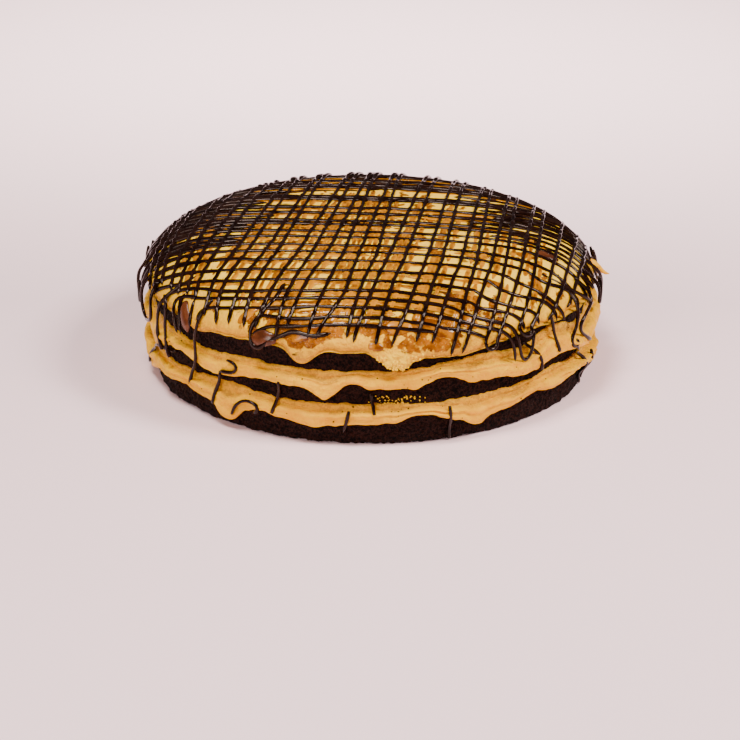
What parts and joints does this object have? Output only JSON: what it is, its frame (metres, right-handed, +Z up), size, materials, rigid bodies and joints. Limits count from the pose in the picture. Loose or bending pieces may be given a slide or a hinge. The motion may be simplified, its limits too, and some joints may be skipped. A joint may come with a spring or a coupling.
{
  "type": "salted caramel chocolate cake",
  "caption": "Round layer cake of dark chocolate sponge and caramel cream, its domed top piped with a lattice of dark chocolate that drips over the rim.",
  "frame": {"origin": "centre of the cake's flat base, on the surface it stands on", "axes": "+Z up through the crown of the dome, -Y towards the shown front with the long drooping tip of cream, +X to the right of that front"},
  "size_m": [0.2827, 0.2728, 0.0868],
  "materials": {
    "chocolate_sponge": "dark open crumb, dry and matt",
    "caramel_cream": "smooth spread buttercream, satin",
    "dark_chocolate": "piped melted chocolate, set and glossy",
    "caramel_sauce": "poured caramel, amber and wet"
  },
  "bodies": {
    "root": {"sponge_bottom": "chocolate_sponge", "cream_bottom": "caramel_cream", "sponge_middle": "chocolate_sponge", "cream_middle": "caramel_cream", "sponge_top": "chocolate_sponge", "cream_top": "caramel_cream"}
  },
  "joints": []
}
